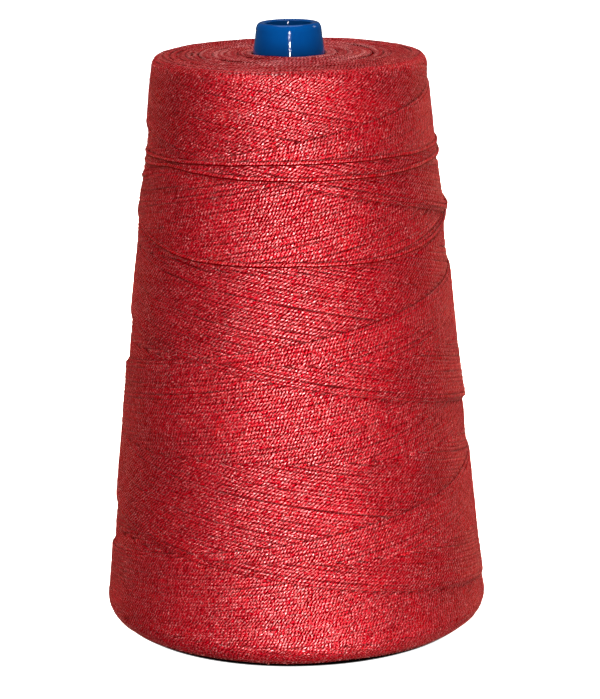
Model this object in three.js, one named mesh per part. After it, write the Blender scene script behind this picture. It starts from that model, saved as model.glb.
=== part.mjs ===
// A cone of sewing twine: red twine cross-wound, layer over layer, on a tapered blue plastic core.
// Millimetres, +Z up. The origin is on the axis at the core's foot, and the front faces -Y.
import * as THREE from 'three';

const columns = 60; // facets around the axis, the same for both pieces so that their facets stay parallel
const fullTurn = 2 * Math.PI;

// The core: a thin tapered tube, open at both ends, with a thicker rounded nose.
const totalHeight = 230;
const coreFootRadius = 36.2;
const coreTaper = 0.1042; // radius lost for each millimetre of height, half the angle of a 5 deg 57 min cone
const coreWall = 2;
const footRimWidth = 2.2; // the flat ring that the cone stands on
const footRounding = 0.8;
const noseStepHeight = 221.5; // a faint step in the nose, just above the twine
const noseStepDepth = 0.35;
const lipHeight = 3;
const mouthRadius = 8.6;
const mouthDepth = 12;
const mouthFlare = 9; // height over which the mouth widens to the thin wall below it

// The twine: the wound form, with rounded shoulders and the steps between its lays.
const twineFoot = 2;
const twineTop = 218.6;
const twineFootRadius = 73.6; // the straight flank, carried down to the twine's foot
const twineTopRadius = 50.8; // and up to its top
const footShoulder = 8;
const topShoulder = 4.4;
const faceDish = 1.2; // how far the end faces sink towards the core
const coreClearance = 0.3;
const rowSpacing = 5.6; // of the rows of facets up the flank
const shoulderRows = 4;

// The winding: strands that rise to the right cross strands that fall to the right.
const turnRise = 72.2; // height that a strand gains in one turn
const risingSeam = 120.4; // height at the front of the newest rising strand
const fallingSeam = 106.8; // height at the front of the newest falling strand
const layThickness = 1.1;
const seamSoftness = 0.07; // share of a turn's rise over which a seam steps down

// Where one lay laps over the next, its lower edge stands proud. Heights are at the front, lift is
// how much higher the edge runs at the two sides, and body is how far up the bulge reaches.
const ridges = [
  { name: 'foot', height: 41.7, lift: 0, proud: 0.4, body: 10 },
  { name: 'lower', height: 77.3, lift: 2, proud: 0.9, body: 12 },
  { name: 'middle', height: 113.9, lift: 0, proud: 0.5, body: 10 },
  { name: 'upper', height: 148.5, lift: 8, proud: 1.7, body: 13 },
  { name: 'shoulder', height: 180.5, lift: 0, proud: 1.1, body: 5 },
];
const ridgeDrop = 2.4; // height over which a ridge's edge falls back to the lay below it

const coreMaterial = new THREE.MeshStandardMaterial({ color: 0x0a48a0, roughness: 0.25, metalness: 0 });
const twineMaterial = new THREE.MeshStandardMaterial({ color: 0xb3202e, roughness: 0.85, metalness: 0 });

function coreRadius(height) {
  return coreFootRadius - coreTaper * height;
}

function flankRadius(height) {
  const share = (height - twineFoot) / (twineTop - twineFoot);
  return THREE.MathUtils.lerp(twineFootRadius, twineTopRadius, share);
}

// Points on an arc of an ellipse, from one angle to another, both ends included.
function arcPoints(centre, halfWidth, halfHeight, fromAngle, toAngle, steps) {
  const points = [];
  for (let step = 0; step <= steps; step += 1) {
    const angle = THREE.MathUtils.lerp(fromAngle, toAngle, step / steps);
    const across = centre.x + halfWidth * Math.cos(angle);
    const up = centre.y + halfHeight * Math.sin(angle);
    points.push(new THREE.Vector2(across, up));
  }
  return points;
}

// A closed outline turned about the axis and stood upright, with its first column at the front.
function turned(outline) {
  const closed = [...outline, outline[0].clone()];
  const geometry = new THREE.LatheGeometry(closed, columns);
  geometry.rotateX(Math.PI / 2);
  return geometry;
}

function makeCore() {
  const footEdge = arcPoints(
    new THREE.Vector2(coreFootRadius - footRounding, footRounding),
    footRounding, footRounding, -Math.PI / 2, 0, 3,
  );
  const noseRadius = coreRadius(totalHeight - lipHeight) - noseStepDepth;
  const lipCentre = new THREE.Vector2((noseRadius + mouthRadius) / 2, totalHeight - lipHeight);
  const lip = arcPoints(lipCentre, (noseRadius - mouthRadius) / 2, lipHeight, 0, Math.PI, 8);
  const mouthFoot = totalHeight - mouthDepth;
  const flareFoot = mouthFoot - mouthFlare;
  const outline = [
    new THREE.Vector2(coreFootRadius - footRimWidth, 0),
    ...footEdge,
    new THREE.Vector2(coreRadius(noseStepHeight), noseStepHeight),
    new THREE.Vector2(coreRadius(noseStepHeight) - noseStepDepth, noseStepHeight + noseStepDepth),
    ...lip,
    new THREE.Vector2(mouthRadius, mouthFoot),
    new THREE.Vector2(coreRadius(flareFoot) - coreWall, flareFoot),
  ];
  return turned(outline);
}

// 0 for the strand that was laid longest ago at this place, rising to 1 for the newest, with the
// drop back to 0 at the seam softened.
function layAge(turns) {
  const age = turns - Math.floor(turns);
  const crest = 1 - seamSoftness;
  return age < crest ? age : crest * (1 - age) / seamSoftness;
}

// How far the two lays of strands stand out from the plain flank.
function layRelief(angle, height) {
  const risingAge = layAge((height - risingSeam) / turnRise - angle / fullTurn);
  const fallingAge = layAge((fallingSeam - height) / turnRise - angle / fullTurn);
  return layThickness * (risingAge + fallingAge - 1);
}

// How far the ridges stand out at a row, given by its height at the front.
function ridgeRelief(frontHeight) {
  let relief = 0;
  for (const ridge of ridges) {
    const above = frontHeight - ridge.height;
    const bulge = above < 0 ? 1 + above / ridgeDrop : Math.exp(-((above / ridge.body) ** 2));
    relief += ridge.proud * Math.max(0, bulge);
  }
  return relief;
}

// Lift of a row at the sides, worked out between the ridges above and below it.
function rowLift(frontHeight) {
  const ends = [{ height: twineFoot, lift: 0 }, ...ridges, { height: twineTop, lift: 0 }];
  const next = ends.findIndex((end) => end.height >= frontHeight);
  const upper = ends[Math.max(1, next)];
  const lower = ends[Math.max(1, next) - 1];
  return THREE.MathUtils.mapLinear(frontHeight, lower.height, upper.height, lower.lift, upper.lift);
}

// Heights of the flank's rows: two at each ridge, below its edge and on it, and even ones between.
function flankHeights(lowest, highest) {
  const starts = [lowest, ...ridges.map((ridge) => ridge.height)];
  const stops = [...ridges.map((ridge) => ridge.height - ridgeDrop), highest];
  const heights = [];
  starts.forEach((start, band) => {
    const steps = Math.round((stops[band] - start) / rowSpacing);
    for (let step = 0; step <= steps; step += 1) {
      heights.push(THREE.MathUtils.lerp(start, stops[band], step / steps));
    }
  });
  return heights.slice(1, -1);
}

function shoulderCentre(height, shoulder) {
  return new THREE.Vector2(flankRadius(height) - shoulder, height);
}

function makeTwine() {
  const footCentre = shoulderCentre(twineFoot + footShoulder, footShoulder);
  const topCentre = shoulderCentre(twineTop - topShoulder, topShoulder);
  const footArc = arcPoints(footCentre, footShoulder, footShoulder, -Math.PI / 2, 0, shoulderRows);
  const topArc = arcPoints(topCentre, topShoulder, topShoulder, 0, Math.PI / 2, shoulderRows);
  const heights = flankHeights(footCentre.y, topCentre.y);
  const flank = heights.map((height) => new THREE.Vector2(flankRadius(height), height));
  const boreFoot = twineFoot + faceDish;
  const boreTop = twineTop - faceDish;
  const outline = [
    new THREE.Vector2(coreRadius(boreFoot) + coreClearance, boreFoot),
    ...footArc,
    ...flank,
    ...topArc,
    new THREE.Vector2(coreRadius(boreTop) + coreClearance, boreTop),
  ];
  const geometry = turned(outline);
  layStrands(geometry.attributes.position, footCentre.y, topCentre.y);
  geometry.computeVertexNormals();
  return geometry;
}

// Moves the flank's rows up where the ridges rise, and in and out by the relief of the winding,
// which fades out towards the shoulders.
function layStrands(position, lowest, highest) {
  const point = new THREE.Vector3();
  for (let index = 0; index < position.count; index += 1) {
    point.fromBufferAttribute(position, index);
    const radius = Math.hypot(point.x, point.y);
    const onFlank = point.z > lowest && point.z < highest && radius > coreFootRadius + coreClearance;
    if (onFlank) {
      const angle = Math.atan2(point.x, -point.y);
      const height = point.z + rowLift(point.z) * Math.sin(angle) ** 2;
      const fade = Math.min(1, (point.z - lowest) / footShoulder, (highest - point.z) / footShoulder);
      const relief = fade * (layRelief(angle, height) + ridgeRelief(point.z));
      const scale = (flankRadius(height) + relief) / radius;
      position.setXYZ(index, point.x * scale, point.y * scale, height);
    }
  }
}

function namedMesh(name, geometry, material) {
  const mesh = new THREE.Mesh(geometry, material);
  mesh.name = name;
  return mesh;
}

const twineCone = new THREE.Group();
twineCone.add(namedMesh('core', makeCore(), coreMaterial));
twineCone.add(namedMesh('twine', makeTwine(), twineMaterial));

export default twineCone;
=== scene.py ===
import math

import bmesh
import bpy
import numpy as np
from mathutils import Matrix, Vector


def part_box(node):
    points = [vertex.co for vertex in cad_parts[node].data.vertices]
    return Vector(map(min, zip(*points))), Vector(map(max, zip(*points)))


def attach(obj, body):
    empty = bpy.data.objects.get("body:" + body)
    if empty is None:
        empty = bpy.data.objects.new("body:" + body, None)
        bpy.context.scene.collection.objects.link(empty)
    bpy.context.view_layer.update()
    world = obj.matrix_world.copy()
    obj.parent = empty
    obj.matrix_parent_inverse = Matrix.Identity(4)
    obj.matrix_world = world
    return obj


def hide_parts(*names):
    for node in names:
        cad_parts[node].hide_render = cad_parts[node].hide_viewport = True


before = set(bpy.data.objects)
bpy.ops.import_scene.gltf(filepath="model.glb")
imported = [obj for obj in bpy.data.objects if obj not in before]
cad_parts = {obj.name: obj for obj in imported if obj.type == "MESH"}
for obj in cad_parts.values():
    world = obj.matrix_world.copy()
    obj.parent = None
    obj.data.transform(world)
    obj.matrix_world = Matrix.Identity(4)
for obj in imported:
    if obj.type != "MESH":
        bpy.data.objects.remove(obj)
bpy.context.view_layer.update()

coreLow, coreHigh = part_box("core")
twineLow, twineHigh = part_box("twine")

mm = 0.001  # sizes in the dictionaries are millimetres, unless a note says otherwise
fullTurn = 2 * math.pi
dice = np.random.default_rng(57)

# the form that the twine is wound to; angles run from the front, -Y, towards +X
form = {
    "foot": twineLow.z / mm + 0.6,  # leaves room under the lowest strands
    "top": twineHigh.z / mm,
    "footRadius": 73.6,  # the straight flank, carried down to the foot
    "topRadius": 50.8,  # and up to the top
    "footShoulder": 8.0,
    "topShoulder": 4.4,
    "dish": 1.2,  # of both ends of the inner windings
    "coreGap": 0.3,
}


def addNode(tree, kind, links=None, **settings):
    # links holds a value, or the socket that feeds it, for each input
    node = tree.nodes.new(kind)
    for name, value in settings.items():
        setattr(node, name, value)
    for socket, value in (links or {}).items():
        if isinstance(value, bpy.types.NodeSocket):
            tree.links.new(value, node.inputs[socket])
        else:
            node.inputs[socket].default_value = value
    return node


def newMaterial(name):
    material = bpy.data.materials.new(name)
    material.use_nodes = True
    material.node_tree.nodes.clear()
    return material, material.node_tree


def finishMaterial(tree, finish):
    shader = addNode(tree, "ShaderNodeBsdfPrincipled", finish)
    addNode(tree, "ShaderNodeOutputMaterial", {"Surface": shader.outputs[0]})


def calc(tree, operation, first, second=0.0, third=0.0):
    links = {0: first, 1: second, 2: third}
    return addNode(tree, "ShaderNodeMath", links, operation=operation).outputs[0]


def limited(tree, value, most=1.0):
    return calc(tree, "MINIMUM", calc(tree, "MAXIMUM", value, 0.0), most)


def mixColours(tree, factor, first, second):
    mix = addNode(tree, "ShaderNodeMix", data_type="RGBA", clamp_factor=True)
    for socket, value in ((0, factor), (6, first), (7, second)):
        if isinstance(value, bpy.types.NodeSocket):
            tree.links.new(value, mix.inputs[socket])
        else:
            mix.inputs[socket].default_value = (*value, 1) if socket else value
    return mix.outputs[2]


def noiseOf(tree, vector, scale, detail=2.0, roughness=0.5):
    return addNode(tree, "ShaderNodeTexNoise", {
        "Vector": vector, "Scale": scale, "Detail": detail, "Roughness": roughness,
    }).outputs["Fac"]


def objectPlace(tree):
    return addNode(tree, "ShaderNodeTexCoord").outputs["Object"]


def attributeOf(tree, name, output="Fac"):
    return addNode(tree, "ShaderNodeAttribute", attribute_name=name).outputs[output]


def newPiece(name, vertices, faces=(), edges=()):
    mesh = bpy.data.meshes.new(name)
    mesh.from_pydata(np.asarray(vertices).tolist(), edges, faces)
    piece = bpy.data.objects.new(name, mesh)
    bpy.context.scene.collection.objects.link(piece)
    return piece


def gridFaces(rows, columns):
    # faces of a tube that closes on itself both ways
    faces = []
    for row in range(rows):
        above = (row + 1) % rows
        for column in range(columns):
            beside = (column + 1) % columns
            faces.append((row * columns + column, row * columns + beside,
                          above * columns + beside, above * columns + column))
    return faces


def turnedPiece(name, radius, height, material):
    # radius and height hold a row for each point of the closed outline and a column for each angle
    rows, columns = radius.shape
    angles = np.arange(columns) * fullTurn / columns
    vertices = np.stack([radius * np.sin(angles), -radius * np.cos(angles), height], 2) * mm
    piece = newPiece(name, vertices.reshape(-1, 3), gridFaces(rows, columns))
    shape = bmesh.new()
    shape.from_mesh(piece.data)
    bmesh.ops.recalc_face_normals(shape, faces=shape.faces)
    shape.to_mesh(piece.data)
    shape.free()
    piece.data.polygons.foreach_set("use_smooth", [True] * len(piece.data.polygons))
    piece.data.materials.append(material)
    return piece


def ridePiece(piece):
    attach(piece, "root")
    triangles = sum(len(face.vertices) - 2 for face in piece.data.polygons)
    print(piece.name, triangles, "triangles")


view = {
    "distance": 1039.2,
    "height": 353.1,
    "pitchDegrees": 13.417,
    "rollDegrees": -0.8,
    "lens": 144.47,
    "sensor": 36,
    "shift": 0.0098,
    "clipEnd": 50,  # metres
}


def makeCamera():
    camera = bpy.data.cameras.new("camera")
    camera.lens = view["lens"]
    camera.sensor_width = view["sensor"]
    camera.shift_x = view["shift"]
    camera.clip_end = view["clipEnd"]
    place = bpy.data.objects.new("camera", camera)
    bpy.context.scene.collection.objects.link(place)
    tilt = Matrix.Rotation(math.radians(90 - view["pitchDegrees"]), 4, "X")
    roll = Matrix.Rotation(math.radians(view["rollDegrees"]), 4, "Z")
    stand = Matrix.Translation((0, -view["distance"] * mm, view["height"] * mm))
    place.matrix_world = stand @ tilt @ roll
    bpy.context.scene.camera = place


makeCamera()
print("camera placed")

studio = {
    "sky": 0.09,
    "paper": (0.9, 0.9, 0.9),
    "paperGlow": 0.97,  # the paper is lit from beneath as well, so it stays white
    "paperRoughness": 0.9,
    "left": -6, "right": 6, "near": -6, "far": 14,  # edges of the paper, in metres
    "shade": (0.004, 0.002, 0.002),  # a painted shadow: the dark patch painted on the paper beneath the cone
    "shadeRadius": 65.8,
    "shadeBehind": 3.9,  # how far its middle lies behind the axis
    "shadeEdge": 1.2,
    "overheadStrength": 4.4,
    "overheadSpreadDegrees": 50,
    "overheadPlace": (0, 0, 3),  # metres
}
# places and sizes of the lamps are in metres
lamps = {
    "frontLamp": {"place": (0.06, -1.25, 0.13), "size": (0.04, 0.26), "watts": 25.0},
    "fillLamp": {"place": (0.45, -0.27, 0.03), "size": (0.25, 0.25), "watts": 1.0, "glossy": False},
    # seen only as a soft spot on the nose
    "spotLamp": {"place": (1.2, 0.6, 0.9), "size": (0.3, 0.3), "watts": 1.5, "diffuse": False},
    # reaches into the mouth and over the lip
    "lipLamp": {"place": (0.06, -1.25, 0.42), "size": (0.07, 0.07), "watts": 6.0},
    # lights the end face and draws a thin line along the nose's lip
    "topLamp": {"place": (0.0, 0.3, 1.5), "size": (0.9, 0.9), "watts": 6.6},
}
# one behind at either side, warm, along the outline of the cone
for side, name in ((-1, "leftEdgeLamp"), (1, "rightEdgeLamp")):
    lamps[name] = {"place": (side * 0.6, 0.8, 0.25), "size": (0.3, 0.3), "watts": 26.0,
                   "colour": (1.0, 0.8, 0.55), "glossy": False}


def makeFloor():
    corners = [(studio[side], studio[depth], 0) for side, depth in (
        ("left", "near"), ("right", "near"), ("right", "far"), ("left", "far"))]
    floor = newPiece("floor", corners, [(0, 1, 2, 3)])
    paper, tree = newMaterial("palePaper")
    away = addNode(tree, "ShaderNodeVectorMath", {
        0: objectPlace(tree), 1: (0, studio["shadeBehind"] * mm, 0),
    }, operation="DISTANCE").outputs["Value"]
    # painted shadow: the paper's colour and glow are turned off in a soft-edged patch beneath the cone, a
    # little behind its axis
    edge = studio["shadeEdge"] * mm
    lit = limited(tree, calc(tree, "MULTIPLY_ADD", away, 1 / edge, 0.5 - studio["shadeRadius"] * mm / edge))
    finishMaterial(tree, {
        "Base Color": mixColours(tree, lit, studio["shade"], studio["paper"]),
        "Roughness": studio["paperRoughness"],
        "Specular IOR Level": 0.0,
        "Emission Color": (1, 1, 1, 1),
        "Emission Strength": calc(tree, "MULTIPLY", lit, studio["paperGlow"]),
    })
    floor.data.materials.append(paper)
    floor.visible_diffuse = False  # the paper stays white without filling the shadows
    floor.visible_glossy = False


def addLamp(name, kind, place, power, glossy=True, diffuse=True):
    lamp = bpy.data.lights.new(name, kind)
    lamp.energy = power
    holder = bpy.data.objects.new(name, lamp)
    bpy.context.scene.collection.objects.link(holder)
    holder.location = place
    aim = (coreLow + coreHigh) / 2 - Vector(place)
    holder.rotation_euler = aim.to_track_quat("-Z", "Y").to_euler()
    holder.visible_glossy = glossy
    holder.visible_diffuse = diffuse
    return lamp


def makeStudio():
    makeFloor()
    world = bpy.data.worlds.new("studio")
    world.use_nodes = True
    sky = world.node_tree.nodes["Background"]
    sky.inputs["Strength"].default_value = studio["sky"]
    sky.inputs["Color"].default_value = (1, 1, 1, 1)
    bpy.context.scene.world = world
    for name, given in lamps.items():
        seen = given.get("glossy", True), given.get("diffuse", True)
        lamp = addLamp(name, "AREA", given["place"], given["watts"], *seen)
        lamp.shape = "RECTANGLE"
        lamp.size, lamp.size_y = given["size"]
        lamp.color = given.get("colour", (1, 1, 1))
    overhead = addLamp("overheadLamp", "SUN", studio["overheadPlace"], studio["overheadStrength"], False)
    overhead.angle = math.radians(studio["overheadSpreadDegrees"])
    bpy.context.scene.view_settings.view_transform = "Standard"


makeStudio()
print("studio lit")

core = {
    "footRadius": 36.2,
    "taper": 0.1042,  # radius lost for each millimetre of height
    "wall": 2.0,
    "footRim": 2.2,
    "footRounding": 0.8,
    "footWallHeight": 3.0,  # the inside starts to narrow here
    "stepHeight": 221.5,
    "stepDepth": 0.25,
    "stepLength": 6.0,
    "lipHeight": 3.0,
    "innerLipHeight": 0.7,
    "mouthSlope": (0.12, 1.1),  # the wall leans out by this much over this height, under the lip
    "mouthRadius": 8.6,
    "mouthDepth": 12.0,
    "mouthFlare": 9.0,
    "columns": 160,
}
# each scale in a finish is a noise's, in waves to the metre
plastic = {
    "colour": (0.0, 0.027, 0.122),
    "paleColour": (0.0, 0.044, 0.172),
    "cloudScale": 60,
    "cloudContrast": 1.6,
    "cloudStart": -0.3,
    "scuffScale": 900,
    "scuffRoughness": 0.09,
    "polish": 0.02,
    "grainScale": 1100,
    "grainDepth": 0.026,
    "specular": 0.2,
}


def coreRadius(height):
    return core["footRadius"] - core["taper"] * height


def arc(centre, wide, high, start, stop, steps):
    angles = np.linspace(start, stop, steps + 1)
    return [(centre[0] + wide * math.cos(a), centre[1] + high * math.sin(a)) for a in angles]


def makeCoreMaterial():
    material, tree = newMaterial("bluePlastic")
    place = objectPlace(tree)
    cloud = noiseOf(tree, place, plastic["cloudScale"], 3)
    cloud = calc(tree, "MULTIPLY_ADD", cloud, plastic["cloudContrast"], plastic["cloudStart"])
    scuffs = noiseOf(tree, place, plastic["scuffScale"], 4, 0.65)
    grain = noiseOf(tree, place, plastic["grainScale"], 2)
    bump = addNode(tree, "ShaderNodeBump", {
        "Strength": 1.0, "Distance": plastic["grainDepth"] * mm, "Height": grain,
    })
    finishMaterial(tree, {
        "Base Color": mixColours(tree, cloud, plastic["colour"], plastic["paleColour"]),
        "Roughness": calc(tree, "MULTIPLY_ADD", scuffs, plastic["scuffRoughness"], plastic["polish"]),
        "Specular IOR Level": plastic["specular"],
        "Normal": bump.outputs[0],
    })
    return material


def makeCore():
    top = coreHigh.z / mm
    rounding = core["footRounding"]
    depth = core["stepDepth"]
    noseRadius = coreRadius(top - core["lipHeight"]) - depth
    lipCentre = ((noseRadius + core["mouthRadius"]) / 2, top - core["lipHeight"])
    lipWidth = (noseRadius - core["mouthRadius"]) / 2
    lean, leanHeight = core["mouthSlope"]
    innerCentre = (lipCentre[0], top - core["innerLipHeight"])
    stepHeights = core["stepHeight"] + core["stepLength"] * np.linspace(-0.5, 0.5, 13)
    mouthFoot = top - core["mouthDepth"]
    flareFoot = mouthFoot - core["mouthFlare"]
    outline = [
        (core["footRadius"] - core["footRim"], 0),
        *arc((core["footRadius"] - rounding, rounding), rounding, rounding, -math.pi / 2, 0, 6),
        *[(coreRadius(height) - depth * (0.5 - 0.5 * math.cos(math.pi * share)), height)
          for share, height in zip(np.linspace(0, 1, 13), stepHeights)],
        *arc(lipCentre, lipWidth, core["lipHeight"], 0, math.pi / 2, 12),
        *arc(innerCentre, lipWidth - lean, core["innerLipHeight"], math.pi / 2, math.pi, 9)[1:],
        *[(core["mouthRadius"] + lean * (1 - share), innerCentre[1] - leanHeight * share)
          for share in (0.15, 0.4, 0.7, 0.9, 1.0)],
        (core["mouthRadius"], mouthFoot),
        (coreRadius(flareFoot) - core["wall"], flareFoot),
        (coreRadius(core["footWallHeight"]) - core["wall"], core["footWallHeight"]),
    ]
    points = np.array(outline)
    even = np.ones(core["columns"])
    piece = turnedPiece("coreShell", points[:, :1] * even, points[:, 1:] * even, makeCoreMaterial())
    ridePiece(piece)
    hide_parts("core")


makeCore()
print("core turned")

# how the strands lie on the wound form; reach is height, measured along the flank and the shoulders
winding = {
    "turnRise": 72.2,  # height gained in one turn
    "strands": 50,  # that rise, and as many that fall
    "risingSeam": 121.4,  # height at the front of the newest rising strand
    "fallingSeam": 105.8,
    "fallingSag": 2.3,  # the falling strands lie this much lower at the two sides
    "layThickness": 0.9,
    "seamSoftness": 0.045,  # share of a turn's rise over which a seam steps down
    "slump": 0.02,  # as seamSoftness, for the strand's own age
    "highestTurn": 226.5,  # where the strands turn back, before they are crowded
    "lowestTurn": -5.5,
    "turnRounding": 3.3,
    "overrun": 6.0,  # each strand is followed this far past both ends
    "crowdBelow": 42.0,  # below this, and above crowdAbove, the strands lie closer together
    "footCrowding": 0.0036,
    "crowdAbove": 175.0,
    "topCrowding": 0.002,
    "step": 2.3,  # between the points of a strand
    "stepRadius": 62.0,
    "diveLength": 4.0,  # over which a strand goes down under those that cross it
    "diveDepth": 1.0,
    "hidden": 0.8,  # how far it is kept beneath them, in diveLengths
    "waves": (11, 23, 47, 110),  # lengths of the waves in a strand's path
    "wander": 0.05,
    "liftWander": 0.03,
    "spread": 0.085,  # how unevenly the strands are spaced
    "uneven": 0.1,
    # slow swelling of the whole package: waves in a turn, height, start, size
    "slowWaves": [(3, 9, 0.0, 1.0), (2, -14, 1.3, 0.8)],
    "fullness": 0.15,  # how far the strands stand out all over
    "footFade": 14.0,  # the lays fade out over these lengths towards the shoulders
    "topFade": 8.0,
    "heapRight": 0.85,  # the newest strands stand a little proud of the others at the sides
    "heapRightShare": 0.25,  # share of the strands that this lifts
    "heapLeft": 0.38,
    "heapLeftShare": 0.4,
    "frontThickness": 0.6,  # the lays are pulled flatter in front, to this share
    "topSlack": {"size": 0.5, "above": 183, "over": 6},  # less full near the top, at the right
    "footSlack": {"size": 0.4, "below": 66, "over": 30},
    "gapShadeShare": 0.12,  # strands that have a painted shadow along one edge, as in a gap
    # fuller and slacker places: which side, reach, half its height, size
    "swells": [(-1, 39, 8, 0.32), (-1, 148, 9, -0.32), (-1, 171.5, 3.2, -0.7), (-1, 177.5, 3, 0.5),
               (-1, 84, 6, 0.25), (1, 99, 8, 0.15), (1, 82, 4, 0.25)],
}


def flankRadius(height):
    share = (height - form["foot"]) / (form["top"] - form["foot"])
    return form["footRadius"] + (form["topRadius"] - form["footRadius"]) * share


def makeMeridian():
    # reach along the flank and round both shoulders, with the radius, height and normal there
    lean = math.atan2(form["footRadius"] - form["topRadius"], form["top"] - form["foot"])
    rows = []
    for shoulder, end, sign in (("footShoulder", "foot", -1), ("topShoulder", "top", 1)):
        size = form[shoulder]
        start = form[end] - sign * size
        centre = flankRadius(start) - size
        for bend in np.linspace(0, math.pi / 2, 13):
            rows.append((
                start + sign * size * bend,
                centre + size * math.cos(bend),
                start + sign * size * math.sin(bend),
                sign * bend + lean * (1 - bend / (math.pi / 2)),
            ))
    return np.array(sorted(rows)).T


meridian = makeMeridian()


def onForm(reach):
    return [np.interp(reach, meridian[0], column) for column in meridian[1:]]


def raised(reach, lift):
    # radius and height of a place on the wound form, raised by lift along its normal
    radius, height, normal = onForm(reach)
    return radius + lift * np.cos(normal), height + lift * np.sin(normal)


def placed(angle, reach, lift):
    radius, height = raised(reach, lift)
    return np.stack([radius * np.sin(angle), -radius * np.cos(angle), height], -1) * mm


def crowded(reach):
    # the strands lie closer together near both ends of the stroke
    below = np.maximum(0, winding["crowdBelow"] - reach)
    above = np.maximum(0, reach - winding["crowdAbove"])
    return reach + winding["footCrowding"] * below**2 - winding["topCrowding"] * above**2


def folded(reach):
    # a strand turns back, in a rounded bend, at either end of the stroke
    soft = winding["turnRounding"]
    reach = winding["highestTurn"] - np.hypot(winding["highestTurn"] - reach, soft)
    return winding["lowestTurn"] + np.hypot(reach - winding["lowestTurn"], soft)


def softAge(turns, softness=winding["seamSoftness"]):
    # 0 for the oldest strand, rising to 1 for the newest, with a short slope back down
    age = turns % 1
    crest = 1 - softness
    return np.where(age < crest, age, crest * (1 - age) / softness)


def risingAge(angle, reach):
    return (reach - winding["risingSeam"]) / winding["turnRise"] - angle / fullTurn


def fallingAge(angle, reach):
    seam = winding["fallingSeam"] - winding["fallingSag"] * np.sin(angle) ** 2
    return (seam - reach) / winding["turnRise"] - angle / fullTurn


strokeReach = np.linspace(winding["lowestTurn"], winding["highestTurn"], 300)
laidReach = crowded(folded(strokeReach))


def laysAt(angle, reach):
    # the two ages at a place on the form
    stroke = np.interp(reach, laidReach, strokeReach)
    return softAge(risingAge(angle, stroke)), softAge(fallingAge(angle, stroke))


# Turns that were wound late pull together in ridges. Each has the height of its lower edge at each
# angle, and how far it stands out at the two sides and in front.
ridges = {
    "loop": {
        "edge": [(-180, 172), (-150, 170), (-110, 164.5), (-88, 160.2), (-68, 155.2), (-60, 153.0),
                 (-50, 150.9), (-40, 149.6), (-28, 149.0), (0, 149.0), (28, 148.8), (42, 149.6),
                 (53, 150.8), (60, 152.4), (68, 154.2), (88, 158.2), (110, 163), (150, 169.5), (180, 172)],
        "left": 0.0, "front": 0.5, "right": 1.2, "body": 4.0, "groove": 1.3,
        "rightSlope": 5.0, "rightNarrower": 1.5,
    },
    "band": {
        "edge": [(-180, 179), (-69, 180.0), (-52, 181.6), (-27, 179.8), (0, 179.4), (35, 179.2),
                 (67, 180.4), (180, 179)],
        "left": 0.0, "front": 0.35, "right": 0.0, "body": 5.0, "groove": 0.7,
        "rightSlope": 0.0, "rightNarrower": 0.0,
    },
}
ridgeSlope = 1.5  # height over which a ridge's edge falls back to the strands below it
grooveBelow = 1.2  # how far the groove lies below the edge, and half its width
cornerReach = 9  # degrees to either side over which a path's corners are rounded


def alongPath(path, degrees):
    # height along a given path, with its corners rounded
    corners = np.array(path, float)
    spread = np.linspace(-cornerReach, cornerReach, 13)
    weights = np.hanning(15)[1:-1]
    heights = [np.interp(degrees + shift, corners[:, 0], corners[:, 1]) for shift in spread]
    return np.tensordot(weights / weights.sum(), np.array(heights), 1)


def ridgeRelief(angle, reach):
    total = 0
    degrees = (np.degrees(angle) + 180) % 360 - 180
    side = np.sin(angle)
    atRight = np.maximum(0, side) ** 4
    for ridge in ridges.values():
        above = reach - alongPath(ridge["edge"], degrees)
        atSide = np.where(side > 0, ridge["right"], ridge["left"])
        proud = ridge["front"] + (atSide - ridge["front"]) * side**2
        below = ridgeSlope + ridge["rightSlope"] * atRight
        body = ridge["body"] - ridge["rightNarrower"] * atRight
        bulge = np.where(above < 0, 1 + above / below, np.exp(-((above / body) ** 2)))
        groove = ridge["groove"] * np.exp(-(((above + grooveBelow) / grooveBelow) ** 2))
        total = total + proud * np.maximum(0, bulge) - groove
    return total


def newest(age, share):
    # rises from 0 to 1 over the newest share of the strands
    return np.clip((age - 1) / share + 1, 0, 1)


def relief(angle, reach, rising, falling):
    # how far the lays stand out from the plain flank, from their two ages
    low = form["foot"] + form["footShoulder"]
    high = form["top"] - form["topShoulder"]
    fade = np.minimum((reach - low) / winding["footFade"], (high - reach) / winding["topFade"])
    side = np.sin(angle)
    heap = winding["heapRight"] * np.maximum(0, side) * newest(falling, winding["heapRightShare"]) ** 2
    heap += winding["heapLeft"] * np.maximum(0, -side) * newest(rising, winding["heapLeftShare"])
    slack = winding["topSlack"]
    heap -= slack["size"] * (1 + side) / 2 * np.clip((reach - slack["above"]) / slack["over"], 0, 1)
    slack = winding["footSlack"]
    heap -= slack["size"] * np.clip((slack["below"] - reach) / slack["over"], 0, 1)
    for way, middle, half, size in winding["swells"]:
        heap += size * np.maximum(0, way * side) ** 2 * np.exp(-(((reach - middle) / half) ** 2))
    swell = sum(size * np.sin(waves * angle + reach / height + start)
                for waves, height, start, size in winding["slowWaves"])
    flatter = winding["frontThickness"] + (1 - winding["frontThickness"]) * side**2
    lays = winding["layThickness"] * flatter * (rising + falling - 1)
    lays = lays + ridgeRelief(angle, reach)
    return winding["fullness"] + np.clip(fade, 0, 1) * (lays + heap + winding["uneven"] * swell)


def wandering(count, spacing, size):
    # a smooth random curve made of a few waves
    places = np.arange(count) * spacing
    curve = np.zeros(count)
    for wave in winding["waves"]:
        length = wave * dice.uniform(0.8, 1.25)
        curve += np.sin(places * fullTurn / length + dice.uniform(0, fullTurn))
    return curve * size


def runsOf(kept):
    # first and last places of the stretches that are kept
    edges = np.flatnonzero(np.diff(np.concatenate([[0], kept.astype(int), [0]])))
    return [(first, last) for first, last in zip(edges[::2], edges[1::2]) if last - first > 2]


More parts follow.
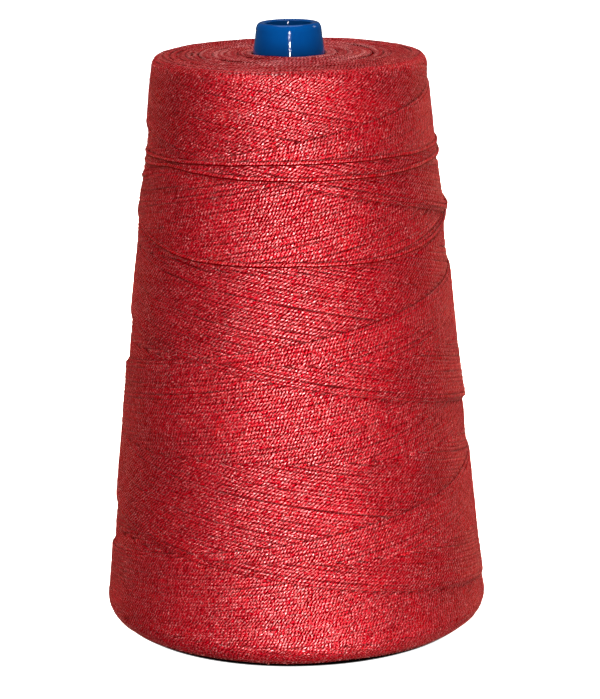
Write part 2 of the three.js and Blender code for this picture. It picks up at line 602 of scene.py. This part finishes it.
def gapShadesAlong(count):
    # how dark the painted shadow is along the lower edge of a strand, as in a gap, or along its upper edge
    # where negative
    if dice.random() > winding["gapShadeShare"]:
        return np.zeros(count)
    length = wandering(count, winding["step"], 0.5)
    return dice.choice([-1, 1]) * np.clip(length, 0, 1)


strand = {
    "width": 1.92,
    "thickness": 1.15,
    "sides": 7,
    "swell": 0.014,  # share by which its thickness varies
}


def layFamily(ownAge, otherAge, seam, sense):
    # every strand that goes one way, cut into the stretches where it lies on top
    lays = []
    rise = winding["turnRise"]
    low = winding["lowestTurn"] - winding["overrun"]
    high = winding["highestTurn"] + winding["overrun"]
    stepAngle = winding["step"] / winding["stepRadius"]
    for number in range(winding["strands"]):
        age = (number + 0.5) / winding["strands"]
        start = ((low - seam) / rise if sense > 0 else (seam - high) / rise) - age
        angle = np.arange(start * fullTurn, (start + (high - low) / rise) * fullTurn, stepAngle)
        unfolded = seam + sense * rise * (angle / fullTurn + age)
        if sense < 0:
            unfolded -= winding["fallingSag"] * np.sin(angle) ** 2
        count = len(angle)
        # how far inside the stretch where this strand is newer than those that cross it
        other = otherAge(angle, unfolded) % 1
        inside = np.where(other < age, np.minimum(age - other, other),
                          -np.minimum(1 - other, other - age))
        inside *= math.pi * onForm(unfolded)[0]
        share = np.clip(inside / winding["diveLength"] + 0.5, 0, 1)
        sunk = winding["diveDepth"] * (1 - share * share * (3 - 2 * share))
        reach = crowded(folded(unfolded)) + wandering(count, winding["step"], winding["wander"])
        reach += dice.laplace(0, winding["spread"])
        over = softAge(otherAge(angle, unfolded))
        own = softAge(age, winding["slump"])
        lift = relief(angle, reach, *((own, over) if sense > 0 else (over, own)))
        lift += wandering(count, winding["step"], winding["liftWander"]) - strand["thickness"] / 2 - sunk
        points = placed(angle, reach, lift)
        outward = placed(angle, reach, lift + 1) - points
        swell = 1 + wandering(count, winding["step"], strand["swell"])
        along = np.cumsum(stepAngle * onForm(reach)[0]) + dice.uniform(0, 20)  # plies start anywhere
        tint = np.full(count, dice.uniform(-1, 1))
        creaseShade = gapShadesAlong(count)
        laid = (points, outward, along, swell, tint, creaseShade)
        for first, last in runsOf(inside > -winding["hidden"] * winding["diveLength"]):
            lays.append([values[first:last] for values in laid])
    return lays


def strandLines(name, lays):
    # one mesh of open lines, a line for each lay, with what the spinning tree and the finish read
    counts = [len(lay[0]) for lay in lays]
    starts = np.cumsum([0] + counts[:-1])
    edges = [(start + step, start + step + 1) for start, count in zip(starts, counts)
             for step in range(count - 1)]
    piece = newPiece(name, np.concatenate([lay[0] for lay in lays]), edges=edges)
    for place, column in enumerate(("along", "swell", "tint", "creaseShade"), 2):
        values = np.concatenate([lay[place] for lay in lays])
        data = piece.data.attributes.new(column, "FLOAT", "POINT").data
        data.foreach_set("value", values.astype(np.float32))
    outward = np.concatenate([lay[1] for lay in lays]) / mm
    data = piece.data.attributes.new("outward", "FLOAT_VECTOR", "POINT").data
    data.foreach_set("vector", outward.astype(np.float32).ravel())
    return piece


yarn = {
    "plies": 3,
    "plyLay": 4.1,  # length in which a ply goes once round the strand
    "plyDepth": 0.2,
    "twistScale": 260,
    "unevenTwist": 2.4,
    "fibreDepth": 0.07,
    "fibresRound": 2.8,
    "fibresAlong": 0.5,
    "crownSharpness": 0.7,
    "flatness": 0.18,  # the strands are pressed flat, so they turn the light less than round ones
    # groove: the colour of painted shade, in the grooves between plies, at the strands' edges and in their
    # gaps
    "groove": (0.13, 0.0, 0.001),
    "red": (0.50, 0.001, 0.011),
    "warmRed": (0.60, 0.008, 0.004),
    "warmScale": 140,
    "warmContrast": 1.2,
    # pale specks: paler fuzz, partly a painted highlight where fibres catch the light
    "paleFuzzAndHighlight": (0.90, 0.34, 0.33),
    # how much each of these lightens or darkens a strand
    "plyShade": 1.05,
    "shadeStart": -0.06,
    "fibreShade": 2.4,
    "feltScale": 1400,
    "feltShade": 3.4,
    "tintShade": 0.08,
    "patchScale": 55,
    "patchShade": 0.6,
    # painted shade towards each strand's edges, where it meets its neighbours
    "paintedEdgeShade": -1.35,
    "edgeSharpness": 4.0,
    "gapShade": -1.4,
    "gapShadeContrast": 3.0,
    "gapShadeStart": -1.2,
    "speckScale": 1700,
    "speckContrast": 14.0,
    "speckStart": -8.35,
    "speckMost": 0.9,
    "fuzzAndSheenSpecks": 2.0,
    "glintContrast": 10.0,
    "glintStart": -4.7,
    "glintSharpness": 2.0,
    "glintRoughness": 0.35,
    "glintIor": 2.15,
    "metallic": 0.6,
    "roughness": 0.5,
    "specular": 0.03,
    "specularTint": (1.0, 0.12, 0.14),
    "sheen": 0.1,
    "sheenRoughness": 0.22,
    "sheenTint": (1.0, 0.27, 0.19),
}


def plyPattern(tree, place, along, parts):
    # each ply runs round the strand as it runs along it, with a groove before the next one
    angle = calc(tree, "ARCTAN2", parts[1], parts[0])
    twist = calc(tree, "MULTIPLY_ADD", along, fullTurn / yarn["plyLay"], angle)
    uneven = noiseOf(tree, place, yarn["twistScale"], 1)
    twist = calc(tree, "MULTIPLY_ADD", uneven, yarn["unevenTwist"], twist)
    ply = calc(tree, "SINE", calc(tree, "MULTIPLY", twist, yarn["plies"] / 2))
    # fibres lie along the plies
    fibreVector = addNode(tree, "ShaderNodeCombineXYZ", {
        0: calc(tree, "MULTIPLY", calc(tree, "COSINE", twist), yarn["fibresRound"]),
        1: calc(tree, "MULTIPLY", calc(tree, "SINE", twist), yarn["fibresRound"]),
        2: calc(tree, "MULTIPLY", along, yarn["fibresAlong"]),
    }).outputs[0]
    return calc(tree, "ABSOLUTE", ply), noiseOf(tree, fibreVector, 1.0, 2, 0.6)


def strandNormal(tree, crown, fibres):
    outward = attributeOf(tree, "outward", "Vector")
    own = addNode(tree, "ShaderNodeNewGeometry").outputs["Normal"]
    facing = addNode(tree, "ShaderNodeMix", {
        0: yarn["flatness"], 4: own, 5: outward,
    }, data_type="VECTOR").outputs[1]
    facing = addNode(tree, "ShaderNodeVectorMath", {0: facing}, operation="NORMALIZE").outputs[0]
    plyBump = addNode(tree, "ShaderNodeBump", {
        "Strength": 1.0, "Distance": yarn["plyDepth"] * mm, "Height": crown, "Normal": facing,
    })
    return addNode(tree, "ShaderNodeBump", {
        "Strength": 1.0, "Distance": yarn["fibreDepth"] * mm, "Height": fibres,
        "Normal": plyBump.outputs[0],
    }).outputs[0]


# painted shadow along one edge of a strand, standing for the shade in a gap; glints and pale specks are left
# out of it
def gapShadeAlongEdge(tree, sideways, creaseShade):
    gapShadeMask = calc(tree, "MULTIPLY", creaseShade, sideways)
    return limited(tree, calc(tree, "MULTIPLY_ADD", gapShadeMask, yarn["gapShadeContrast"], yarn["gapShadeStart"]))


def twineShade(tree, place, ply, fibres, tint, sideways, gapShadeMask):
    # from 0, the colour of painted shade in a groove, to 1, the strand's own; random fibre, felt, patch and
    # tint tones are mixed in
    # painted shade in the grooves between the plies
    shade = calc(tree, "MULTIPLY_ADD", ply, yarn["plyShade"], yarn["shadeStart"])
    felt = noiseOf(tree, place, yarn["feltScale"], 2, 0.7)
    patches = noiseOf(tree, place, yarn["patchScale"], 2)
    for noise, size in ((fibres, "fibreShade"), (felt, "feltShade"), (patches, "patchShade")):
        shade = calc(tree, "MULTIPLY_ADD", calc(tree, "SUBTRACT", noise, 0.5), yarn[size], shade)
    # painted shade: the strand darkens towards its edges, and a painted shadow lies along an edge that has a
    # gap
    edge = calc(tree, "POWER", calc(tree, "ABSOLUTE", sideways), yarn["edgeSharpness"])
    for value, size in ((tint, "tintShade"), (edge, "paintedEdgeShade"), (gapShadeMask, "gapShade")):
        shade = calc(tree, "MULTIPLY_ADD", value, yarn[size], shade)
    return shade


def twineColour(tree, place, shade, crown, tint, outsideGapShade):
    # a tint above 1 is warmer, and one below -1 adds pale specks: paler fuzz, and partly a painted sheen
    newer = calc(tree, "MAXIMUM", calc(tree, "SUBTRACT", tint, 1.0), 0.0)
    paleFuzzAndSheen = calc(tree, "MAXIMUM", calc(tree, "SUBTRACT", -1.0, tint), 0.0)
    warmth = noiseOf(tree, place, yarn["warmScale"], 2)
    warmth = calc(tree, "MULTIPLY_ADD", warmth, yarn["warmContrast"], -yarn["warmContrast"] / 2)
    dyed = mixColours(tree, calc(tree, "ADD", warmth, newer), yarn["red"], yarn["warmRed"])
    colour = mixColours(tree, shade, yarn["groove"], dyed)
    # pale specks on the ply crowns only: paler fuzz, and partly a painted highlight where the fibres catch
    # the light
    specks = noiseOf(tree, place, yarn["speckScale"], 2, 0.6)
    start = calc(tree, "MULTIPLY_ADD", paleFuzzAndSheen, yarn["fuzzAndSheenSpecks"], yarn["speckStart"])
    paleFuzzAndHighlight = calc(tree, "MULTIPLY_ADD", specks, yarn["speckContrast"], start)
    paleFuzzAndHighlight = calc(tree, "MULTIPLY", limited(tree, paleFuzzAndHighlight, yarn["speckMost"]), outsideGapShade)
    return mixColours(tree, calc(tree, "MULTIPLY", paleFuzzAndHighlight, crown), colour, yarn["paleFuzzAndHighlight"])


def twineGlint(tree, ply, fibres, outsideGapShade):
    # the crowns of the plies glint where their fibres lie smooth
    glint = limited(tree, calc(tree, "MULTIPLY_ADD", fibres, yarn["glintContrast"], yarn["glintStart"]))
    glint = calc(tree, "MULTIPLY", glint, calc(tree, "POWER", ply, yarn["glintSharpness"]))
    return calc(tree, "MULTIPLY", glint, outsideGapShade)


def makeTwineMaterial():
    material, tree = newMaterial("redTwine")
    place = objectPlace(tree)
    parts = addNode(tree, "ShaderNodeSeparateXYZ", {0: attributeOf(tree, "across", "Vector")}).outputs
    along, tint, creaseShade = [attributeOf(tree, name) for name in ("along", "tint", "creaseShade")]
    ply, fibres = plyPattern(tree, place, along, parts)
    crown = calc(tree, "POWER", ply, yarn["crownSharpness"])
    gapShadeMask = gapShadeAlongEdge(tree, parts[1], creaseShade)
    outsideGapShade = calc(tree, "SUBTRACT", 1.0, gapShadeMask)
    shade = twineShade(tree, place, ply, fibres, tint, parts[1], gapShadeMask)
    normal = strandNormal(tree, crown, fibres)
    finishMaterial(tree, {
        "Base Color": twineColour(tree, place, shade, crown, tint, outsideGapShade),
        "Metallic": yarn["metallic"],
        "Roughness": yarn["roughness"],
        "Specular IOR Level": yarn["specular"],
        "Specular Tint": (*yarn["specularTint"], 1),
        "Sheen Weight": yarn["sheen"],
        "Sheen Roughness": yarn["sheenRoughness"],
        "Sheen Tint": (*yarn["sheenTint"], 1),
        "Coat Weight": twineGlint(tree, ply, fibres, outsideGapShade),
        "Coat Roughness": yarn["glintRoughness"],
        "Coat IOR": yarn["glintIor"],
        "Normal": normal,
        "Coat Normal": normal,
    })
    return material


def newTree(name, inputs):
    tree = bpy.data.node_groups.new(name, "GeometryNodeTree")
    tree.interface.new_socket("Geometry", in_out="INPUT", socket_type="NodeSocketGeometry")
    for label, kind in inputs.items():
        tree.interface.new_socket(label, in_out="INPUT", socket_type="NodeSocket" + kind)
    tree.interface.new_socket("Geometry", in_out="OUTPUT", socket_type="NodeSocketGeometry")
    return tree, addNode(tree, "NodeGroupInput").outputs


def finishTree(tree, geometry, material):
    real = addNode(tree, "GeometryNodeRealizeInstances", {0: geometry})
    finish = addNode(tree, "GeometryNodeSetMaterial", {0: real.outputs[0], "Material": material})
    addNode(tree, "NodeGroupOutput", {0: finish.outputs[0]})


def makeSpinningTree():
    # draws a round strand along every line
    tree, given = newTree("spunStrand", {
        "Strand Width": "Float", "Strand Thickness": "Float", "Sides": "Int", "Finish": "Material",
    })
    curve = addNode(tree, "GeometryNodeMeshToCurve", {0: given["Geometry"]})
    outward = addNode(tree, "GeometryNodeInputNamedAttribute", {"Name": "outward"}, data_type="FLOAT_VECTOR")
    facing = addNode(tree, "GeometryNodeSetCurveNormal", {
        "Curve": curve.outputs[0], "Normal": outward.outputs["Attribute"],
    }, mode="FREE")
    ring = addNode(tree, "GeometryNodeCurvePrimitiveCircle", {"Resolution": given["Sides"], "Radius": 0.5})
    position = addNode(tree, "GeometryNodeInputPosition")
    around = addNode(tree, "ShaderNodeVectorMath", {0: position.outputs[0]}, operation="NORMALIZE")
    marked = addNode(tree, "GeometryNodeStoreNamedAttribute", {
        "Geometry": ring.outputs[0], "Name": "across", "Value": around.outputs[0],
    }, data_type="FLOAT_VECTOR", domain="POINT")
    section = addNode(tree, "ShaderNodeCombineXYZ", {
        0: given["Strand Thickness"], 1: given["Strand Width"], 2: 1.0,
    })
    flattened = addNode(tree, "GeometryNodeTransform", {
        "Geometry": marked.outputs[0], "Scale": section.outputs[0],
    })
    swell = addNode(tree, "GeometryNodeInputNamedAttribute", {"Name": "swell"}, data_type="FLOAT")
    tube = addNode(tree, "GeometryNodeCurveToMesh", {
        "Curve": facing.outputs[0], "Profile Curve": flattened.outputs[0],
        "Scale": swell.outputs["Attribute"], "Fill Caps": True,
    })
    smooth = addNode(tree, "GeometryNodeSetShadeSmooth", {"Geometry": tube.outputs[0]})
    finishTree(tree, smooth.outputs[0], given["Finish"])
    return tree


def grown(piece, tree, values):
    # runs a tree on a piece with these values and keeps the result as a plain mesh
    modifier = piece.modifiers.new(tree.name, "NODES")
    modifier.node_group = tree
    for item in tree.interface.items_tree:
        if item.in_out == "INPUT" and item.name in values:
            modifier[item.identifier] = values[item.name]
    source = piece.data
    evaluated = piece.evaluated_get(bpy.context.evaluated_depsgraph_get())
    mesh = bpy.data.meshes.new_from_object(evaluated)
    piece.modifiers.remove(modifier)
    piece.data = mesh
    mesh.name = piece.name
    bpy.data.meshes.remove(source)
    return piece


spinningTree = makeSpinningTree()
strandLook = {
    "Strand Width": strand["width"] * mm,
    "Strand Thickness": strand["thickness"] * mm,
    "Sides": strand["sides"],
    "Finish": makeTwineMaterial(),
}


def spinPiece(name, lays):
    piece = grown(strandLines(name, lays), spinningTree, strandLook)
    ridePiece(piece)


def makeLays():
    rising = layFamily(risingAge, fallingAge, winding["risingSeam"], 1)
    falling = layFamily(fallingAge, risingAge, winding["fallingSeam"], -1)
    for name, lays in (("risingStrands", rising), ("fallingStrands", falling)):
        spinPiece(name + "1", lays[::2])
        spinPiece(name + "2", lays[1::2])
    print("laid", len(rising), "rising and", len(falling), "falling stretches")


makeLays()

# the turns that were wound last, over the others
lastTurns = {
    "lift": 0.65,
    "leftDrop": 0.8,
    "rightDrop": 0.5,
    "step": 1.5,
    "wander": 0.07,
    "swell": 0.012,
    "tuckLength": 12,  # both ends are tucked under their neighbours
    "tuckDepth": 2.2,
    "tint": 1.2,
    # a painted shadow along the lower edge of the last turns
    "creaseShade": 1.7,
    # angle in degrees, height
    "path": [(-200, 172), (-150, 170), (-110, 165.5), (-88, 161.0), (-68, 156.1), (-60, 153.9), (-50, 151.8),
             (-40, 150.5), (-28, 149.9), (0, 149.9), (28, 149.7), (42, 150.5), (53, 151.7), (60, 153.3),
             (68, 155.1), (88, 159.2), (120, 166), (180, 173), (240, 178), (291, 180.9), (308, 182.6),
             (333, 180.8), (360, 180.3), (395, 180.1), (427, 181.4), (480, 183), (560, 183), (620, 183.2),
             (660, 184.0), (690, 185.2), (725, 186.4), (745, 186.3), (780, 185.7), (800, 186), (830, 186)],
}


def makeLastTurns():
    path = lastTurns["path"]
    step = lastTurns["step"]
    degrees = np.arange(path[0][0], path[-1][0], math.degrees(step / winding["stepRadius"]))
    count = len(degrees)
    angle = np.radians(degrees)
    reach = alongPath(path, degrees) + wandering(count, step, lastTurns["wander"])
    ends = np.minimum(np.arange(count), np.arange(count)[::-1]) * step
    tucked = np.clip(1 - ends / lastTurns["tuckLength"], 0, 1) ** 2 * lastTurns["tuckDepth"]
    lift = relief(angle, reach, *laysAt(angle, reach)) + lastTurns["lift"] - tucked
    side = np.sin(angle)
    lift -= np.where(side > 0, lastTurns["rightDrop"], lastTurns["leftDrop"]) * side**2
    points = placed(angle, reach, lift)
    outward = placed(angle, reach, lift + 1) - points
    along = np.arange(count) * step
    swell = 1 + wandering(count, step, lastTurns["swell"])
    tint = np.full(count, lastTurns["tint"])
    creaseShade = np.full(count, lastTurns["creaseShade"])
    spinPiece("lastTurns", [(points, outward, along, swell, tint, creaseShade)])


makeLastTurns()
print("last turns wound")

endFaces = {
    "topDish": -0.5,  # below 0, so the turns are heaped a little against the core
    "footDish": 1.2,
    "topInner": 14.6,  # radius of the first turn at the core
    "footInner": 37.4,
    "topOuter": 49.0,
    "footOuter": 68.0,
    # the top turns get more pale specks: paler fuzz, and partly a painted sheen of the end face
    "topFuzzAndSheen": 1.05,
    "footFuzzAndSheen": 0.0,
    "spacing": 1.32,
    "step": 2.2,
    "overlap": 1.02,  # turns
    "waves": (1, 2, 3, 5, 8),  # in one turn
    "sway": 0.3,
    "bob": 0.12,
    "sunk": 1.2,
}


def faceHeight(radius, end, sign):
    # the face sinks towards the core by its dish, or rises where that is below 0, and bends down to
    # the shoulder
    shoulder = form[end + "Shoulder"]
    start = form[end] - sign * shoulder
    outer = flankRadius(start) - shoulder
    inner = coreRadius(form[end]) + form["coreGap"]
    share = np.clip((outer - radius) / (outer - inner), 0, 1)
    over = np.clip(radius - outer, 0, shoulder)
    bend = shoulder - np.sqrt(shoulder**2 - over**2)
    return form[end] - sign * (endFaces[end + "Dish"] * share + bend)


def faceTurns(end, sign):
    lays = []
    inner = endFaces[end + "Inner"]
    for radius in np.arange(inner, endFaces[end + "Outer"], endFaces["spacing"]):
        count = int(fullTurn * radius / endFaces["step"])
        angle = np.linspace(0, fullTurn * endFaces["overlap"], count) + dice.uniform(0, fullTurn)
        sway = np.zeros(count)
        bob = np.zeros(count)
        for wave in endFaces["waves"]:
            sway += np.sin(wave * angle + dice.uniform(0, fullTurn)) * dice.uniform(0.3, 1) / wave**0.5
            bob += np.sin(wave * angle + dice.uniform(0, fullTurn)) * dice.uniform(0.3, 1)
        away = radius + endFaces["sway"] * sway + np.linspace(-0.5, 0.5, count) * endFaces["spacing"]
        away = np.maximum(away, inner)
        under = strand["thickness"] / 2 + endFaces["bob"] * (bob + endFaces["sunk"])
        height = faceHeight(away, end, sign) - sign * under
        points = np.stack([away * np.sin(angle), -away * np.cos(angle), height], -1) * mm
        outward = np.tile([0, 0, sign * mm], (count, 1))
        along = np.arange(count) * endFaces["step"]
        tint = np.full(count, dice.uniform(-1, 1) - endFaces[end + "FuzzAndSheen"])
        lays.append((points, outward, along, np.ones(count), tint, np.zeros(count)))
    return lays


spinPiece("topTurns", faceTurns("top", 1))
spinPiece("footTurns", faceTurns("foot", -1))
print("end faces wound")

# the inner windings, seen only in the gaps between the strands
innerWindings = {
    "depth": 0.95,
    "columns": 240,
    "rows": 110,
    # coloured darker than the strands: painted shade of the gaps they are seen through
    "colour": (0.34, 0.001, 0.006),
    "deepShadeColour": (0.16, 0.0, 0.002),
    "grainScale": 700,
    "roughness": 0.9,
}


def makeInnerWindings():
    deep, tree = newMaterial("innerTwine")
    grain = noiseOf(tree, objectPlace(tree), innerWindings["grainScale"], 3)
    finishMaterial(tree, {
        "Base Color": mixColours(tree, grain, innerWindings["deepShadeColour"], innerWindings["colour"]),
        "Roughness": innerWindings["roughness"],
        "Specular IOR Level": 0.0,
    })
    columns = innerWindings["columns"]
    angle = np.arange(columns)[None, :] * fullTurn / columns
    reach = np.linspace(meridian[0][0], meridian[0][-1], innerWindings["rows"])[:, None] + 0 * angle
    lift = relief(angle, reach, *laysAt(angle, reach)) - innerWindings["depth"]
    radius, height = raised(reach, lift)
    low = form["foot"] + form["dish"] + innerWindings["depth"]
    high = form["top"] - form["dish"] - innerWindings["depth"]
    ends = np.array([[low], [high]]) + 0 * angle
    bore = np.array([[coreRadius(low)], [coreRadius(high)]]) + form["coreGap"] + 0 * angle
    radius = np.concatenate([bore[:1], radius, bore[1:]])
    height = np.concatenate([ends[:1], height, ends[1:]])
    piece = turnedPiece("innerWindings", radius, height, deep)
    ridePiece(piece)
    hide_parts("twine")
    return piece


windingsBody = makeInnerWindings()
print("inner windings filled")

# loose fibres that stand off the twine
fuzz = {
    "perSquareMillimetre": 0.145,
    "width": 0.1,
    "length": 1.35,
    "root": (0, 0, 0.12),  # both ends of a fibre, in its own lengths, before it is turned
    "tip": (1.0, -0.1, 0.5),
    "shortest": 0.35,
    "longest": 1.3,
    "tilt": 0.25,  # radians
    "seeds": (3, 11),
    "colour": (0.6, 0.05, 0.05),
    "paleColour": (0.95, 0.38, 0.32),
    "toneScale": 300,
    "roughness": 0.6,
    "specular": 0.15,
}


def makeFuzzTree():
    tree, given = newTree("looseFibres", {
        "Density": "Float", "Fibre Width": "Float", "Fibre Length": "Float", "Seed": "Int",
        "Finish": "Material",
    })
    roots = addNode(tree, "GeometryNodeDistributePointsOnFaces", {
        "Mesh": given["Geometry"], "Density": given["Density"], "Seed": given["Seed"],
    })
    fibre = addNode(tree, "GeometryNodeCurvePrimitiveLine", {"Start": fuzz["root"], "End": fuzz["tip"]})
    tilt = fuzz["tilt"]
    spin = addNode(tree, "FunctionNodeRandomValue", {
        "Min": (-tilt, -tilt, 0), "Max": (tilt, tilt, fullTurn), "Seed": given["Seed"],
    }, data_type="FLOAT_VECTOR")
    turn = addNode(tree, "FunctionNodeRotateRotation", {
        "Rotation": roots.outputs["Rotation"], "Rotate By": spin.outputs["Value"],
    }, rotation_space="LOCAL")
    size = addNode(tree, "FunctionNodeRandomValue", {
        2: fuzz["shortest"], 3: fuzz["longest"], "Seed": given["Seed"],
    }, data_type="FLOAT")
    scale = calc(tree, "MULTIPLY", size.outputs[1], given["Fibre Length"])
    hairs = addNode(tree, "GeometryNodeInstanceOnPoints", {
        "Points": roots.outputs["Points"], "Instance": fibre.outputs[0],
        "Rotation": turn.outputs[0], "Scale": scale,
    })
    real = addNode(tree, "GeometryNodeRealizeInstances", {0: hairs.outputs[0]})
    half = calc(tree, "MULTIPLY", given["Fibre Width"], 0.5)
    ring = addNode(tree, "GeometryNodeCurvePrimitiveCircle", {"Resolution": 3, "Radius": half})
    tube = addNode(tree, "GeometryNodeCurveToMesh", {
        "Curve": real.outputs[0], "Profile Curve": ring.outputs[0], "Fill Caps": True,
    })
    finishTree(tree, tube.outputs[0], given["Finish"])
    return tree


def makeFuzz():
    material, tree = newMaterial("looseFibre")
    tones = noiseOf(tree, objectPlace(tree), fuzz["toneScale"], 1)
    finishMaterial(tree, {
        "Base Color": mixColours(tree, tones, fuzz["colour"], fuzz["paleColour"]),
        "Roughness": fuzz["roughness"],
        "Specular IOR Level": fuzz["specular"],
    })
    fuzzTree = makeFuzzTree()
    for number, seed in enumerate(fuzz["seeds"], 1):
        name = "looseFibres" + str(number)
        piece = bpy.data.objects.new(name, windingsBody.data.copy())
        bpy.context.scene.collection.objects.link(piece)
        grown(piece, fuzzTree, {
            "Density": fuzz["perSquareMillimetre"] / mm**2, "Fibre Width": fuzz["width"] * mm,
            "Fibre Length": fuzz["length"] * mm, "Seed": seed, "Finish": material,
        })
        ridePiece(piece)


makeFuzz()
print("loose fibres grown")
